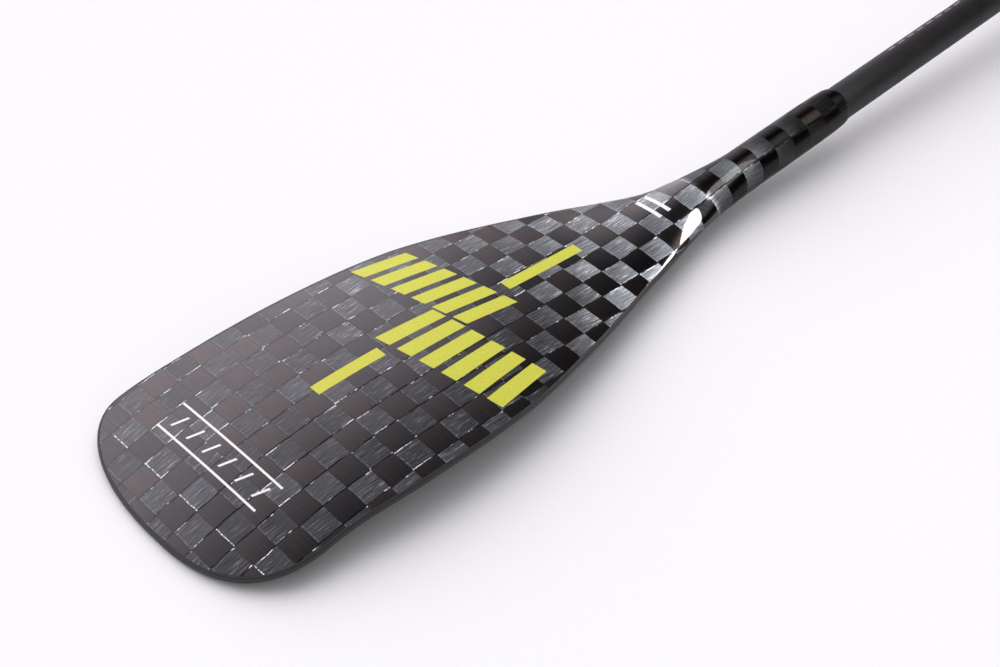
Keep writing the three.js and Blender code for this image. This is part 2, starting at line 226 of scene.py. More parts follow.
# Length along the spoon's curve at each u, for laying the cloth on it.
ARC_U = np.linspace(-10, SKIN_END, 1141)
ARC = np.concatenate([[0], np.cumsum(np.hypot(np.diff(ARC_U), np.diff([spoon(u) for u in ARC_U])))])


def cloth_along(u):
    """How far u is along the cloth from its seam, in squares."""
    return float(np.interp(u, ARC_U, ARC) - np.interp(SEAM_U, ARC_U, ARC)) / TWILL


def u_at(along):
    """The u that is that many millimetres along the cloth from its seam."""
    return float(np.interp(along + np.interp(SEAM_U, ARC_U, ARC), ARC, ARC_U))


# ---- Meshes ----


def new_piece(name, body, slot, points, faces, corner_uvs=None, smooth_angle=40):
    """A mesh object from points in the frame that rides on a body."""
    mesh = bpy.data.meshes.new(name)
    mesh.from_pydata([tuple(p) for p in points], [], faces)
    if corner_uvs is not None:
        layer = mesh.uv_layers.new(name="weave")
        flat = [value for face in corner_uvs for uv in face for value in uv]
        layer.data.foreach_set("uv", flat)
    mesh.validate()
    mesh.shade_smooth()
    mesh.set_sharp_from_angle(angle=math.radians(smooth_angle))
    piece = bpy.data.objects.new(name, mesh)
    bpy.context.scene.collection.objects.link(piece)
    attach(piece, body)
    return piece


def paint(piece, material):
    piece.data.materials.clear()
    piece.data.materials.append(material)


def half_piece(side, name, body, slot, points, faces, corner_uvs=None, smooth_angle=40):
    """A piece given in one half's own axes. The left half is a mirror image."""
    placed = [place(side, p) for p in points]
    if side == "left":
        faces = [face[::-1] for face in faces]
        corner_uvs = corner_uvs and [uvs[::-1] for uvs in corner_uvs]
    return new_piece(name, body, slot, placed, faces, corner_uvs, smooth_angle)


def slab_faces(rows, columns):
    """Faces of a closed slab whose points are an upper grid and then a lower one."""
    faces = []

    def upper(i, j):
        return i * columns + j

    def lower(i, j):
        return rows * columns + i * columns + j

    for i in range(rows - 1):
        for j in range(columns - 1):
            faces.append((upper(i, j), upper(i, j + 1), upper(i + 1, j + 1), upper(i + 1, j)))
            faces.append((lower(i, j), lower(i + 1, j), lower(i + 1, j + 1), lower(i, j + 1)))
        faces.append((upper(i, 0), upper(i + 1, 0), lower(i + 1, 0), lower(i, 0)))
        j = columns - 1
        faces.append((upper(i, j), lower(i, j), lower(i + 1, j), upper(i + 1, j)))
    for j in range(columns - 1):
        i = rows - 1
        faces.append((upper(0, j), lower(0, j), lower(0, j + 1), upper(0, j + 1)))
        faces.append((upper(i, j), upper(i, j + 1), lower(i, j + 1), lower(i, j)))
    return faces


def bar_faces(rings, sides):
    """Faces of a closed bar through rings of points, capped flat."""
    faces = []
    for i in range(rings - 1):
        for j in range(sides):
            a = i * sides + j
            b = i * sides + (j + 1) % sides
            faces.append((a, b, b + sides, a + sides))
    end = (rings - 1) * sides
    faces.append(tuple(range(sides - 1, -1, -1)))
    faces.append(tuple(end + j for j in range(sides)))
    return faces


def turned(side, name, body, slot, profile, cloth=None):
    """A ring about the shaft from a closed profile of (x, radius), x from the middle. The
    profile runs along the outside towards +x first. cloth gives the squares along and across
    at a profile point and an angle."""
    count = len(profile)
    angles = [2 * math.pi * k / SIDES - math.pi for k in range(SIDES + 1)]
    points = []
    for angle in angles[:-1]:
        for x, radius in profile:
            points.append((x, radius * math.sin(angle), radius * math.cos(angle)))
    faces, uvs = [], []
    for k in range(SIDES):
        for i in range(count):
            j = (i + 1) % count
            after = (k + 1) % SIDES
            faces.append((k * count + i, k * count + j, after * count + j, after * count + i))
            if cloth:
                corners = [(i, k), (j, k), (j, k + 1), (i, k + 1)]
                uvs.append([cloth(profile[a], angles[b]) for a, b in corners])
    return half_piece(side, name, body, slot, points, faces, uvs or None, smooth_angle=35)


# ---- Blades ----


def blade_row(u, facing, depth):
    """One row of points across a skin, from +v to -v, on the back (facing 1) or the face
    (facing -1), sunk below the outer surface by depth."""
    inset = smooth(RIM_WIDTH, u) + GAP if u < RIM_END else 0.0
    if RIM_END <= u < RIM_END + RIM_FADE:
        inset = (smooth(RIM_WIDTH, RIM_END) + GAP) * (1 - (u - RIM_END) / RIM_FADE)
    start = outline_point("long", u, -inset)
    end = outline_point("short", u, -inset)
    edge = smooth(EDGE_HALF, u)
    crown = smooth(HALF_THICKNESS, u) - edge
    rounding = smooth(ROUNDING, u)

    def at(angle):
        q = math.cos(angle)
        plan = start.lerp(end, (1 - q) / 2)
        half = edge + crown * max(1 - q * q, 0) ** rounding
        return Vector((plan.x, plan.y, middle(plan.x, plan.y) + facing * half))

    row = []
    step = 1e-3
    for j in range(COLUMNS + 1):
        angle = math.pi * j / COLUMNS
        along = at(min(angle + step, math.pi)) - at(max(angle - step, 0))
        inward = Vector((0, along.z, -along.y)).normalized() * -facing
        row.append(at(angle) + inward * depth)
    return row


def cloth_uvs(rows, us):
    """For each point of a grid, how far it is along and across the cloth, in squares."""
    result = []
    for u, row in zip(us, rows):
        across = [0.0]
        for before, after in zip(row, row[1:]):
            across.append(across[-1] + (after - before).length)
        middle_at = float(np.interp(0, [-p.y for p in row], across))
        along = cloth_along(u)
        for distance in across:
            v = middle_at - distance
            result.append((along, (SEAM_V - v) / TWILL))
    return result


def blade_skin(side, half, facing):
    """A skin of cloth, with the rows of its outer surface."""
    name = f"{side}_{'back' if facing > 0 else 'face'}_skin"
    us = stations(0.02, SKIN_END)
    outer = [blade_row(u, facing, 0) for u in us]
    inner = [blade_row(u, facing, SKIN) for u in us]
    upper, lower = (outer, inner) if facing > 0 else (inner, outer)
    uvs = cloth_uvs(outer, us) * 2
    points = [p - FROM_TIP for row in upper + lower for p in row]
    faces = slab_faces(len(us), COLUMNS + 1)
    corner_uvs = [[uvs[k] for k in face] for face in faces]
    piece = half_piece(side, name + "_fine", half, "blade_carbon", points, faces, corner_uvs)
    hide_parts(name)
    return piece, outer


def edge_rim(side, half):
    """The moulded edge: flat towards the skins, a squared-off round outside."""
    us = stations(0.02, RIM_END)

    def ring(edge, u):
        width = smooth(RIM_WIDTH, u)
        half_height = smooth(EDGE_HALF, u) - 0.05
        corner = min(RIM_CORNER, width * 0.55)
        section = [(-width, -half_height)]
        for k in range(13):
            angle = math.radians(-90 + 15 * k)
            cosine = max(math.cos(angle), 0) ** (2 / RIM_OVAL)
            sine = abs(math.sin(angle)) ** (2 / RIM_OVAL) * math.copysign(1, math.sin(angle))
            section.append((-corner + corner * cosine, half_height * sine))
        section.append((-width, half_height))
        points = []
        for outward, height in section:
            plan = outline_point(edge, u, outward)
            points.append(Vector((plan.x, plan.y, middle(plan.x, plan.y) + height)))
        return points

    rings = [ring("short", u) for u in reversed(us)] + [ring("long", u) for u in us]
    points = [p - FROM_TIP for row in rings for p in row]
    faces = bar_faces(len(rings), len(rings[0]))
    name = f"{side}_edge_rim"
    piece = half_piece(side, name + "_fine", half, "edge_rim", points, faces)
    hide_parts(name)
    return piece


def sleeve(side, half):
    """The carbon socket over the end of the shaft, wrapped in the same cloth."""
    name = f"{side}_neck_sleeve"
    outside = []
    for (x0, r0), (x1, r1) in zip(SLEEVE, SLEEVE[1:]):
        count = max(1, round((x1 - x0) / SLEEVE_STEP))
        outside += [(x0 + (x1 - x0) * k / count, r0 + (r1 - r0) * k / count)
                    for k in range(count)]
    outside.append(SLEEVE[-1])
    profile = [(x - HALF_LENGTH, r) for x, r in outside]
    profile += [(SLEEVE[-1][0] - HALF_LENGTH, SLEEVE_BORE), (SLEEVE[0][0] - HALF_LENGTH, SLEEVE_BORE)]

    def cloth(point, angle):
        along = cloth_along(SKIN_END) + (point[0] + HALF_LENGTH - SKIN_END) / TWILL
        return along, (SEAM_V - angle * SLEEVE[0][1]) / TWILL

    piece = turned(side, name + "_fine", half, "blade_carbon", profile, cloth=cloth)
    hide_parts(name)
    return piece


def shaft_cloth(point, angle):
    """Lengths along and round the shaft, in squares."""
    return point[0] / TWILL, angle * SHAFT_OUTER / TWILL


def shaft_tube(side, half, end):
    name = f"{side}_shaft_tube"
    start = SHAFT_START - HALF_LENGTH
    steps = 60
    outside = [(start + (end - start) * k / steps, SHAFT_OUTER) for k in range(steps + 1)]
    profile = outside + [(end, SHAFT_INNER), (start, SHAFT_INNER)]
    piece = turned(side, name + "_fine", half, "shaft_carbon", profile, cloth=shaft_cloth)
    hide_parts(name)
    return piece


# ---- Ferrule and clamp ----


def shape(points, faces):
    """A bare mesh object in millimetres, to be joined and cut."""
    mesh = bpy.data.meshes.new("shape")
    mesh.from_pydata([tuple(p) for p in points], [], faces)
    return bpy.data.objects.new("shape", mesh)


def prism(section, axis, low, high):
    """A straight bar along an axis from a closed outline of points across it."""
    order = {"x": (2, 0, 1), "z": (0, 1, 2)}[axis]
    points = []
    for height in (low, high):
        for a, b in section:
            values = (a, b, height)
            points.append(tuple(values[k] for k in order))
    return shape(points, bar_faces(2, len(section)))


def rod(radius, axis, low, high, at=(0, 0), sides=72):
    """A round bar. at is its middle in the other two axes, in order."""
    section = [(at[0] + radius * math.cos(2 * math.pi * k / sides),
                at[1] + radius * math.sin(2 * math.pi * k / sides)) for k in range(sides)]
    return prism(section, axis, low, high)


def block(low, high):
    section = [(low[0], low[1]), (high[0], low[1]), (high[0], high[1]), (low[0], high[1])]
    return prism(section, "z", low[2], high[2])


def settle(piece):
    """Turn a piece's modifiers into its mesh."""
    scene = bpy.context.scene.collection.objects
    linked = piece.name in scene
    if not linked:
        scene.link(piece)
    bpy.context.view_layer.update()
    evaluated = piece.evaluated_get(bpy.context.evaluated_depsgraph_get())
    mesh = bpy.data.meshes.new_from_object(evaluated)
    piece.modifiers.clear()
    piece.data = mesh
    if not linked:
        scene.unlink(piece)


def combine(piece, operation, *tools):
    """Join each tool to a shape, or cut it away, and use the tool up."""
    for tool in tools:
        bpy.context.scene.collection.objects.link(tool)
        step = piece.modifiers.new("combine", "BOOLEAN")
        step.operation = operation
        step.solver = "EXACT"
        step.object = tool
        settle(piece)
        bpy.data.objects.remove(tool)
    return piece


def joined(piece, *tools):
    return combine(piece, "UNION", *tools)


def cut(piece, *tools):
    return combine(piece, "DIFFERENCE", *tools)


def machined(name, body, slot, made, bevel):
    """Round a shape's edges off, place it with the clamp and let it stand for its node."""
    edges = made.modifiers.new("edges", "BEVEL")
    edges.width = bevel
    edges.segments = 3
    edges.limit_method = "ANGLE"
    edges.angle_limit = math.radians(50)
    edges.use_clamp_overlap = False
    settle(made)
    points = [place("clamp", vertex.co) for vertex in made.data.vertices]
    faces = [tuple(face.vertices) for face in made.data.polygons]
    bpy.data.objects.remove(made)
    piece = new_piece(name + "_fine", body, slot, points, faces, smooth_angle=35)
    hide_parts(name)
    paint(piece, MATERIALS[slot])


def collar():
    """A ring with a split ear, bored for the clamp's bolt and the collar's screw."""
    ear = block((COLLAR_START + EAR_INSET, COLLAR_INNER - 2, -EAR_HALF),
                (COLLAR_END - EAR_INSET, EAR_REACH, EAR_HALF))
    ring = rod(COLLAR_OUTER, "x", COLLAR_START, COLLAR_END, sides=SIDES)
    return cut(
        joined(ring, ear),
        rod(COLLAR_INNER, "x", COLLAR_START - 1, COLLAR_END + 1, sides=SIDES),
        block((COLLAR_START - 1, 0, -EAR_SLOT / 2), (COLLAR_END + 1, EAR_REACH + 1, EAR_SLOT / 2)),
        rod(BOLT_BORE, "z", -2 * EAR_HALF, 2 * EAR_HALF, (MID_X, BOLT_Y)),
        rod(SCREW_HOLE, "z", -COLLAR_OUTER - 2, 0, (SCREW_X, 0)),
    )


def bolt():
    """The pull bolt, with a round head that the lever's pin goes through."""
    shank = rod(BOLT_RADIUS, "z", NUT_LOW - 1.5, PIN_Z, (MID_X, BOLT_Y))
    half = HEAD_LENGTH / 2
    head = rod(BOLT_HEAD, "x", MID_X - half, MID_X + half, (BOLT_Y, PIN_Z))
    hole = rod(PIN_HOLE, "x", MID_X - half - 1, MID_X + half + 1, (BOLT_Y, PIN_Z))
    return cut(joined(shank, head), hole)


def lever():
    """A curved handle with a forked cam that turns on the pin."""
    low, high = MID_X - LEVER_WIDTH / 2, MID_X + LEVER_WIDTH / 2
    steps = 40
    angles = [LEVER_FROM + (LEVER_TO - LEVER_FROM) * k / steps for k in range(steps + 1)]
    band = [(LEVER_OUTER * math.cos(a), LEVER_OUTER * math.sin(a)) for a in angles]
    band += [(LEVER_INNER * math.cos(a), LEVER_INNER * math.sin(a)) for a in reversed(angles)]
    root_y, root_z = LEVER_INNER * math.cos(LEVER_FROM), LEVER_INNER * math.sin(LEVER_FROM)
    return cut(
        joined(prism(band, "x", low, high),
               block((low, root_y - 1, root_z), (high, BOLT_Y, PIN_Z + CAM * 0.8)),
               rod(CAM, "x", low, high, (BOLT_Y, PIN_Z))),
        block((MID_X - FORK / 2, BOLT_Y - CAM - 0.6, 0),
              (MID_X + FORK / 2, BOLT_Y + CAM + 1, PIN_Z + CAM + 1)),
        rod(PIN_HOLE, "x", low - 1, high + 1, (BOLT_Y, PIN_Z)),
    )


def knurled_nut():
    """A round nut with grips around it."""
    grips, grip_depth = 16, 0.35
    section = []
    for k in range(SIDES):
        angle = 2 * math.pi * k / SIDES
        radius = NUT_RADIUS - grip_depth * (0.5 - 0.5 * math.cos(grips * angle))
        section.append((MID_X + radius * math.cos(angle), BOLT_Y + radius * math.sin(angle)))
    return cut(prism(section, "z", NUT_LOW, NUT_HIGH),
               rod(BOLT_BORE, "z", NUT_LOW - 1, NUT_HIGH + 1, (MID_X, BOLT_Y)))


def screw():
    """A set screw with a hexagonal socket."""
    socket = rod(0.9, "z", SCREW_LOW - 1, SCREW_LOW + 1.2, (SCREW_X, 0), sides=6)
    return cut(rod(SCREW_RADIUS, "z", SCREW_LOW, SCREW_HIGH, (SCREW_X, 0)), socket)


def clamp():
    machined("clamp_collar", "left_half", "black_plastic", collar(), 0.4)
    machined("clamp_bolt", "left_half", "steel", bolt(), 0.25)
    machined("clamp_nut", "left_half", "steel", knurled_nut(), 0.15)
    washer = cut(rod(WASHER_RADIUS, "z", WASHER_LOW, WASHER_HIGH, (MID_X, BOLT_Y)),
                 rod(BOLT_BORE, "z", WASHER_LOW - 1, WASHER_HIGH + 1, (MID_X, BOLT_Y)))
    machined("cam_washer", "left_half", "brass", washer, 0.2)
    pin = rod(PIN_RADIUS, "x", MID_X - PIN_LENGTH / 2, MID_X + PIN_LENGTH / 2, (BOLT_Y, PIN_Z))
    machined("lever_pin", "left_half", "steel", pin, 0.3)
    machined("collar_screw", "left_half", "steel", screw(), 0.2)
    machined("clamp_lever", "lever", "lever_plastic", lever(), 0.5)


def ferrule():
    """The tube that joins the halves, with its seal, its bush and its end cap."""

    def made(side, name, body, slot, profile):
        cloth = shaft_cloth if slot == "shaft_carbon" else None
        piece = turned(side, name + "_fine", body, slot, profile, cloth=cloth)
        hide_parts(name)
        paint(piece, MATERIALS[slot])

    made("right", "ferrule_tube", "right_half", "shaft_carbon",
         [(FERRULE_START, FERRULE_GLUED), (-0.2, FERRULE_GLUED), (-0.2, FERRULE_SLIDING),
          (FERRULE_END - CHAMFER, FERRULE_SLIDING), (FERRULE_END, FERRULE_SLIDING - CHAMFER),
          (FERRULE_END, FERRULE_INNER), (FERRULE_START, FERRULE_INNER)])
    ring = [(RING_X + RING_SECTION * math.sin(2 * math.pi * k / 20),
             RING_RADIUS + RING_SECTION * math.cos(2 * math.pi * k / 20)) for k in range(20)]
    made("right", "ferrule_o_ring", "right_half", "seal_rubber", ring)
    made("clamp", "ferrule_bush", "ferrule_slider", "bush_plastic",
         [(BUSH_START, BUSH_OUTER - 0.1), (BUSH_START + 0.3, BUSH_OUTER),
          (BUSH_END - 0.3, BUSH_OUTER), (BUSH_END, BUSH_OUTER - 0.1),
          (BUSH_END, BUSH_INNER), (BUSH_START, BUSH_INNER)])
    flange = FERRULE_END + 0.3
    plug_end = FERRULE_END - CAP_DEPTH
    cap_end = flange + CAP_THICKNESS
    nearly_axis = 0.01
    made("right", "ferrule_end_cap", "right_half", "black_plastic",
         [(plug_end, CAP_PLUG - CHAMFER), (plug_end + CHAMFER, CAP_PLUG),
          (flange, CAP_PLUG), (flange, CAP_FLANGE), (cap_end - CHAMFER, CAP_FLANGE),
          (cap_end, CAP_FLANGE - CHAMFER), (cap_end, nearly_axis), (plug_end, nearly_axis)])


def slit_tube(piece):
    """The left tube's end is slit for the clamp, and has a hole for the collar's screw."""
    tube_end = -TUBE_END["left"]
    slit = block((tube_end - 1, -SHAFT_OUTER - 1, -SLIT_WIDTH / 2),
                 (tube_end + SLIT_END, SHAFT_OUTER + 1, SLIT_WIDTH / 2))
    hole = rod(SCREW_HOLE, "z", -SHAFT_OUTER - 3, 0, (SCREW_X, 0))
    for tool in (slit, hole):
        tool.data.transform(Matrix.Translation(AXIS) @ LEFT @ Matrix.Scale(MM, 4))
        tool.data.update()
    cut(piece, slit, hole)


# ---- Prints: plain marks lying on the back skin and the shaft ----


def print_slab(corners, surface, steps):
    """A thin slab over a patch of the back with four corners (along, v), as points and faces.
    surface gives the point of the back at (along, v), raised by a lift."""
    points = []
    along_steps, across_steps = steps
    for lift in (PRINT_LIFT, PRINT_BASE):
        for i in range(along_steps + 1):
            s = i / along_steps
            for j in range(across_steps + 1):
                t = j / across_steps
                top = Vector(corners[0]).lerp(Vector(corners[1]), s)
                bottom = Vector(corners[3]).lerp(Vector(corners[2]), s)
                along, v = top.lerp(bottom, t)
                points.append(surface(along, v, lift))
    return points, slab_faces(along_steps + 1, across_steps + 1)


def back_surface(outer):
    """A function that finds the point of the back at (along, v)."""
    columns = COLUMNS + 1
    grid = [p for row in outer for p in row]
    faces = [(i * columns + j, i * columns + j + 1, (i + 1) * columns + j + 1,
              (i + 1) * columns + j)
             for i in range(len(outer) - 1) for j in range(COLUMNS)]
    tree = BVHTree.FromPolygons(grid, faces)

    def surface(along, v, lift):
        u = u_at(along)
        hit = tree.ray_cast(Vector((u, v, 100)), Vector((0, 0, -1)))[0]
        return hit + Vector((-HALF_LENGTH, 0, lift))

    return surface


def print_piece(side, half, name, slabs):
    points, faces = [], []
    for slab_points, slab in slabs:
        base = len(points)
        points += slab_points
        faces += [tuple(base + k for k in face) for face in slab]
    return half_piece(side, f"{side}_{name}", half, "blade_carbon", points, faces)


def across_bars(left, right, count, share):
    """Bars across a slanted band. left and right are its edges, each from a (along, v) top to
    a bottom, and share is how much of the pitch a bar takes."""
    bars = []
    for k in range(count):
        low, high = k / count, (k + share) / count
        bars.append([Vector(edge[0]).lerp(Vector(edge[1]), t)
                     for edge, t in ((left, low), (right, low), (right, high), (left, high))])
    return bars


def bar_along(start, end, v_start, v_end, width):
    """The corners of a bar along the blade between two places."""
    half_width = width / 2
    return [(start, v_start + half_width), (end, v_end + half_width),
            (end, v_end - half_width), (start, v_start - half_width)]


def lime_marks():
    """Two slanted bands of six bars each, and a stripe at either end of them."""
    marks = across_bars(((219, 112), (242, 2)), ((265, 103), (287, -3)), 6, 0.68)
    marks += across_bars(((182, 40), (203, -76)), ((233, 36), (251, -69)), 6, 0.68)
    marks.append(bar_along(118, 176, 28, 26, 10))
    marks.append(bar_along(292, 366, 22, 20, 10))
    return marks


def white_marks():
    """Two lines across the tip with slanted dashes between them, and two bars at the neck."""
    marks = [bar_along(26.6, 28.3, 33, 33, 110), bar_along(49.6, 51.3, 33, 33, 110)]
    for k in range(6):
        v = 78 - 18 * k
        marks.append([(33, v + 2), (45, v - 3), (45, v - 5), (33, v)])
    marks += [bar_along(436, 439.5, 13, 13, 26), bar_along(446, 449.5, 13, 13, 26)]
    return marks


def shaft_marks(side, half):
    """A row of short dashes along the shaft, turned a little to one side of its top."""
    slabs = []
    rows, columns = 3, 5
    for k in range(DASHES):
        start = DASHES_FROM + DASH_PITCH * k - HALF_LENGTH
        points = []
        for lift in (PRINT_LIFT, PRINT_BASE):
            radius = SHAFT_OUTER + lift
            for i in range(rows):
                x = start + DASH_LENGTH * i / (rows - 1)
                for j in range(columns):
                    angle = DASH_TURN + DASH_HALF_TURN * (1 - 2 * j / (columns - 1))
                    points.append(Vector((x, radius * math.sin(angle), radius * math.cos(angle))))
        slabs.append((points, slab_faces(rows, columns)))
    return print_piece(side, half, "shaft_dashes", slabs)


# ---- Materials ----


class Nodes:
    """Shader nodes of one tree. An argument is a number, a colour or a socket."""

    def __init__(self, tree):
        self.tree = tree

    def node(self, kind, **settings):
        made = self.tree.nodes.new(kind)
        for key, value in settings.items():
            setattr(made, key, value)
        return made

    def feed(self, socket, value):
        if isinstance(value, bpy.types.NodeSocket):
            self.tree.links.new(value, socket)
        elif isinstance(value, tuple) and len(value) == 3 and socket.type == "RGBA":
            socket.default_value = (*value, 1)
        else:
            socket.default_value = value

    def math(self, operation, *values):
        made = self.node("ShaderNodeMath", operation=operation)
        for socket, value in zip(made.inputs, values):
            self.feed(socket, value)
        return made.outputs[0]

    def times(self, first, *others):
        for value in others:
            first = self.math("MULTIPLY", first, value)
        return first

    def point(self, x, y, z=0.0):
        made = self.node("ShaderNodeCombineXYZ")
        for socket, value in zip(made.inputs, (x, y, z)):
            self.feed(socket, value)
        return made.outputs[0]

    def split(self, vector):
        made = self.node("ShaderNodeSeparateXYZ")
        self.feed(made.inputs[0], vector)
        return made.outputs

    def noise(self, vector, scale, detail=2.0, roughness=0.5):
        made = self.node("ShaderNodeTexNoise", noise_dimensions="3D")
        self.feed(made.inputs["Vector"], vector)
        self.feed(made.inputs["Scale"], scale)
        self.feed(made.inputs["Detail"], detail)
        self.feed(made.inputs["Roughness"], roughness)
        return made.outputs["Fac"]

    def ramp(self, value, low, high, at_low=0.0, at_high=1.0):
        """A soft step: at_low below low, at_high above high."""
        made = self.node("ShaderNodeMapRange", interpolation_type="SMOOTHSTEP")
        for socket, number in zip(made.inputs, (value, low, high, at_low, at_high)):
            self.feed(socket, number)
        return made.outputs[0]

    def mix(self, factor, a, b):
        made = self.node("ShaderNodeMix", data_type="RGBA")
        self.feed(made.inputs[0], factor)
        self.feed(made.inputs[6], a)
        self.feed(made.inputs[7], b)
        return made.outputs[2]

    def blend(self, factor, a, b):
        made = self.node("ShaderNodeMix", data_type="FLOAT")
        self.feed(made.inputs[0], factor)
        self.feed(made.inputs[2], a)
        self.feed(made.inputs[3], b)
        return made.outputs[0]

    def grey(self, value, tint=(1, 1, 1)):
        made = self.node("ShaderNodeCombineColor")
        for socket, share in zip(made.inputs, tint):
            self.feed(socket, self.times(value, share))
        return made.outputs[0]


class Graph(Nodes):
    """The nodes of one material around its Principled BSDF."""

    def __init__(self, name):
        self.material = bpy.data.materials.new(name)
        self.material.use_nodes = True
        super().__init__(self.material.node_tree)
        self.shader = self.tree.nodes["Principled BSDF"]

    def cloth(self):
        """Squares along and across the cloth."""
        along, across, _ = self.split(self.node("ShaderNodeUVMap", uv_map="weave").outputs[0])
        return along, across

    def place(self):
        return self.node("ShaderNodeTexCoord").outputs["Object"]

    def bump(self, height, distance):
        made = self.node("ShaderNodeBump")
        self.feed(made.inputs["Height"], height)
        self.feed(made.inputs["Distance"], distance)
        self.feed(made.inputs["Strength"], 1.0)
        self.feed(self.shader.inputs["Normal"], made.outputs[0])

    def set(self, **values):
        """Set the shader's inputs by name, with _ for a space."""
        for key, value in values.items():
            self.feed(self.shader.inputs[key.replace("_", " ").title().replace("Ior", "IOR")], value)


def spread_tow(name):
    """Spread-tow carbon cloth in a plain weave, under a clear coat. Lengths are in squares."""
    # The lengthwise tones stand above the crosswise ones: partly the cloth's own pattern, partly a
    # painted sheen.
    lengthwise_tones = (0.03, 0.14)
    crosswise_tones = (0.012, 0.034)
    cool, purple, brown = (0.95, 0.99, 1.07), (1.12, 0.96, 1.06), (1.45, 1.05, 0.98)
    seam_shade_colour = (0.002, 0.002, 0.002)
    sway_size, sway_width = 1.7, 0.10
    g = Graph(name)

    # Tows that sway a little, each square's place in the weave, and the place within it. The
    # third number of a point only picks another pattern of noise.
    flat_u, flat_v = g.cloth()

    def swayed(value, pattern):
        sway = g.noise(g.point(flat_u, flat_v, pattern), sway_size, 3.0, 0.6)
        return g.math("MULTIPLY_ADD", g.math("SUBTRACT", sway, 0.5), sway_width, value)

    def to_edge(inside):
        return g.math("SUBTRACT", 0.5, g.math("ABSOLUTE", g.math("SUBTRACT", inside, 0.5)))

    u, v = swayed(flat_u, 0.0), swayed(flat_v, 9.0)
    cell_u, cell_v = g.math("FLOOR", u), g.math("FLOOR", v)
    crosswise = g.math("MODULO", g.math("ABSOLUTE", g.math("ADD", cell_u, cell_v)), 2.0)
    lengthwise_only = g.math("SUBTRACT", 1.0, crosswise)
    in_u, in_v = g.math("FRACT", u), g.math("FRACT", v)
    edge_u, edge_v = to_edge(in_u), to_edge(in_v)

    # Fine fibres and broader strands along each tow, and a chance number for each square.
    along = g.blend(crosswise, u, v)
    across = g.blend(crosswise, v, u)
    fibres = g.noise(g.point(g.times(along, 1.1), g.times(across, 46.0), crosswise), 1.0, 4.0, 0.65)
    strands = g.noise(g.point(g.times(along, 1.3), g.times(across, 9.0), 7.0), 1.0, 2.0)
    cell = g.node("ShaderNodeTexWhiteNoise", noise_dimensions="2D")
    g.feed(cell.inputs["Vector"], g.point(cell_u, cell_v))
    chance = cell.outputs["Value"]
    patches = g.noise(g.point(u, v, 3.0), 0.4, 2.0)

    # Tones of the two ways the tows run. The lengthwise ones are set lighter, partly the cloth's own
    # pattern and partly a painted sheen of how their fibres catch the light, and they carry painted
    # glints.
    glints = g.times(g.ramp(fibres, 0.54, 0.66), g.ramp(strands, 0.46, 0.62),
                     g.ramp(patches, 0.38, 0.60, 0.35, 1.0), g.ramp(u, *SATIN_FROM, 1.0, 0.15))
    fibre_tone = g.ramp(fibres, 0.36, 0.62, *lengthwise_tones)
    # Towards the neck the lengthwise tone is painted up to 1.7 times brighter: a painted sheen.
    lengthwise_tone = g.times(g.math("ADD", fibre_tone, g.times(glints, 0.60)),
                              g.ramp(chance, 0, 1, 0.65, 1.3), g.ramp(u, *SATIN_FROM, 1.0, 0.27),
                              g.ramp(u, *PAINTED_SHEEN, 1.0, 1.7))
    crosswise_tone = g.times(g.ramp(fibres, 0.3, 0.7, *crosswise_tones),
                             g.ramp(chance, 0, 1, 0.7, 1.35), g.ramp(u, *SATIN_FROM, 1.0, 0.4))

    # Painted highlights: broken bright lines where a lengthwise tow's edge or end catches the light.
    # The ends are painted bright in the first row of squares and faint after it.
    line_noise = g.noise(g.point(g.times(u, 1.1), g.times(cell_v, 5.3), 11.0), 1.0, 4.0, 0.75)
    lit_edge = g.times(g.ramp(edge_v, 0.018, 0.028), g.ramp(edge_v, 0.045, 0.06, 1.0, 0.0),
                       g.ramp(line_noise, 0.52, 0.60))
    end_noise = g.noise(g.point(g.times(cell_u, 3.7), g.times(v, 7.0), 5.0), 1.0, 3.0, 0.8)
    first_row = g.ramp(g.math("ABSOLUTE", cell_u), 0.4, 0.6, 1.0, 0.12)
    lit_end = g.times(g.ramp(in_u, 0.015, 0.03), g.ramp(in_u, 0.05, 0.07, 1.0, 0.0),
                      g.ramp(end_noise, 0.44, 0.54), first_row)
    lit = g.times(g.math("MAXIMUM", lit_edge, lit_end), lengthwise_only,
                  g.ramp(u, *SATIN_FROM, 1.0, 0.1))

    # Painted shade in the grooves between the tows: black seams, weaker towards the long edge.
    seam = g.times(g.ramp(edge_v, 0.022, 0.040, 1.0, 0.0), g.ramp(line_noise, 0.57, 0.49),
                   g.ramp(v, 2.5, 6.0, 0.35, 1.0))
    cross_seam_shade = g.times(g.ramp(edge_u, 0.004, 0.018, 0.5, 0.0), crosswise)
    dark = g.math("MAXIMUM", seam, cross_seam_shade)

    lengthwise = g.grey(g.math("ADD", lengthwise_tone, lit), cool)
    warm = g.mix(chance, g.grey(crosswise_tone, purple), g.grey(crosswise_tone, brown))
    colour = g.mix(crosswise, lengthwise, warm)
    # The grooves' painted shade is laid over the colour as near black.
    colour = g.mix(g.times(dark, 0.95), colour, seam_shade_colour)

    # Each tow is crowned across, and its fibres shine along it.
    crown = g.math("SINE", g.times(g.blend(crosswise, in_u, in_v), math.pi))
    relief = g.math("ADD", g.math("MULTIPLY_ADD", fibres, 0.22, crown), g.times(dark, -0.6))
    g.bump(relief, 0.00013)
    tangent = g.node("ShaderNodeTangent", direction_type="UV_MAP", uv_map="weave")
    g.feed(g.shader.inputs["Tangent"], tangent.outputs[0])
    # Where highlights and glints are painted, the metallic is lowered so that they show as white.
    shine = g.math("MAXIMUM", lit, g.times(glints, g.times(lengthwise_only, 0.5)))
